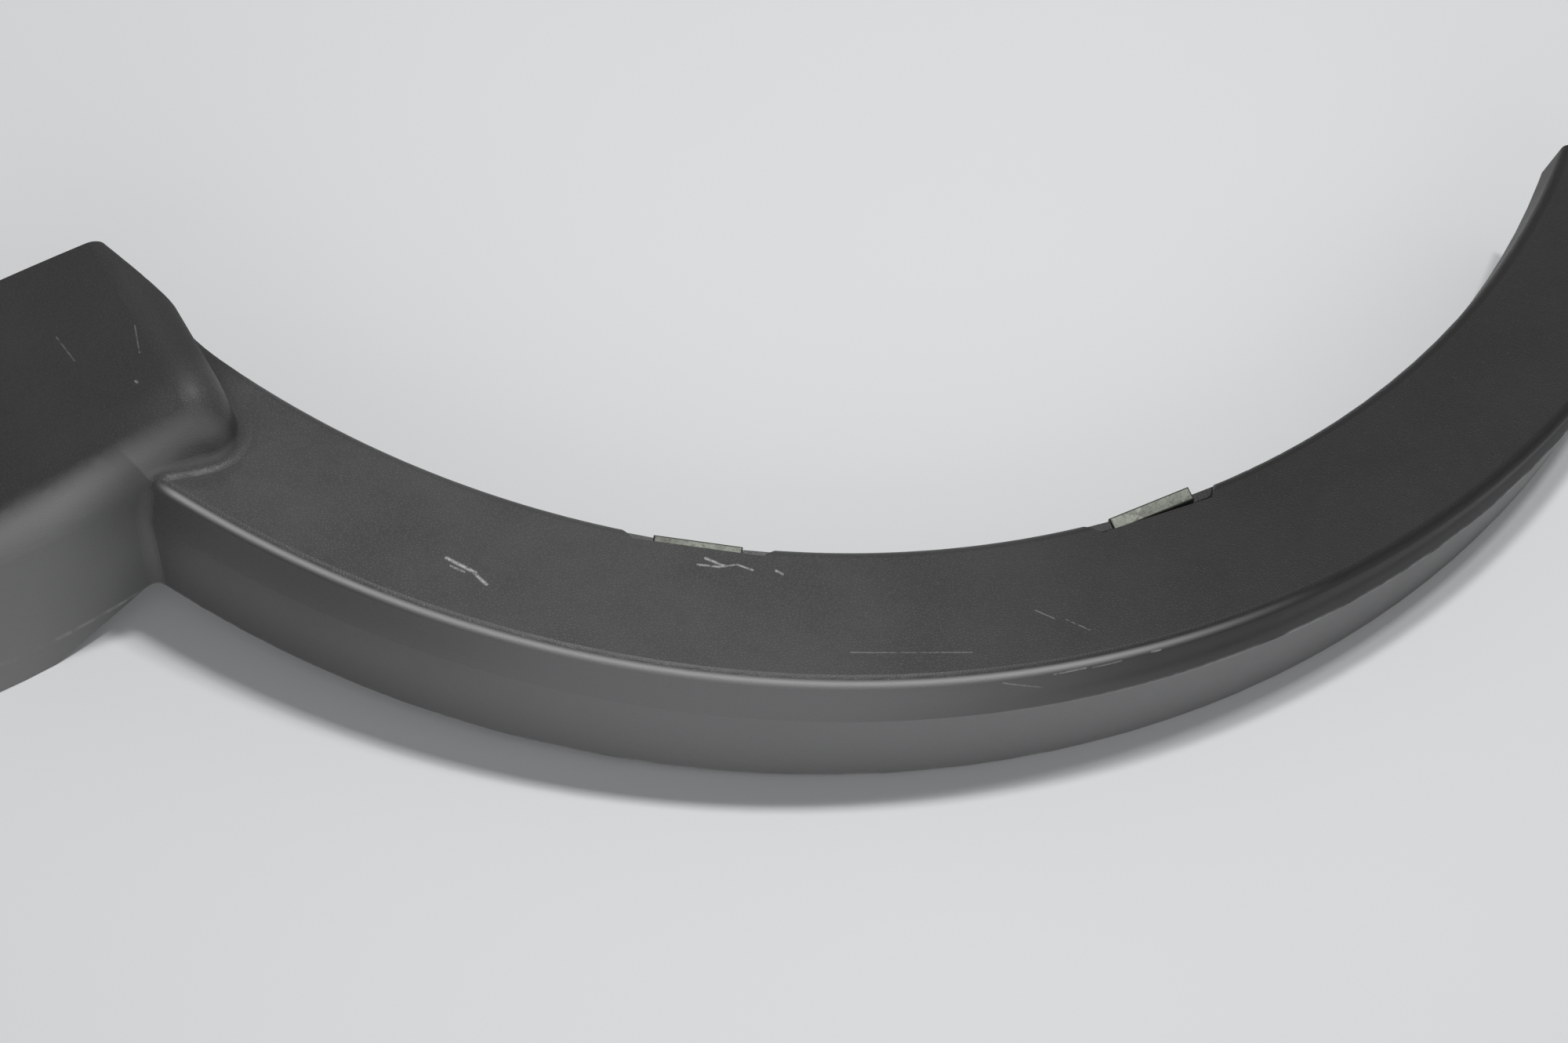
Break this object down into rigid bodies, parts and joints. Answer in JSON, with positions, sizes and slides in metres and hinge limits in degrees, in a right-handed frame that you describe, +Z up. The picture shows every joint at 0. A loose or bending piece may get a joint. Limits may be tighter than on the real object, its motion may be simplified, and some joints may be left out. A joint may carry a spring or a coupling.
{
  "type": "wheel arch trim",
  "caption": "Curved plastic trim that edges a car's wheel arch, hollow underneath, with a raised bumper corner at one end and steel spring clips in its lip.",
  "frame": {"origin": "middle of the trim's box, on the table that it lies on", "axes": "+X along the car from the bumper corner to the tip, +Y across the wheel opening away from the crown, +Z up and away from the car's side"},
  "size_m": [0.7624, 0.263, 0.1057],
  "materials": {
    "grained_plastic": "fine leather grain with a dull satin sheen",
    "clip_steel": "dull zinc plating"
  },
  "bodies": {
    "root": {"arch_moulding": "grained_plastic", "spring_clip_left": "clip_steel", "spring_clip_right": "clip_steel"}
  },
  "joints": []
}
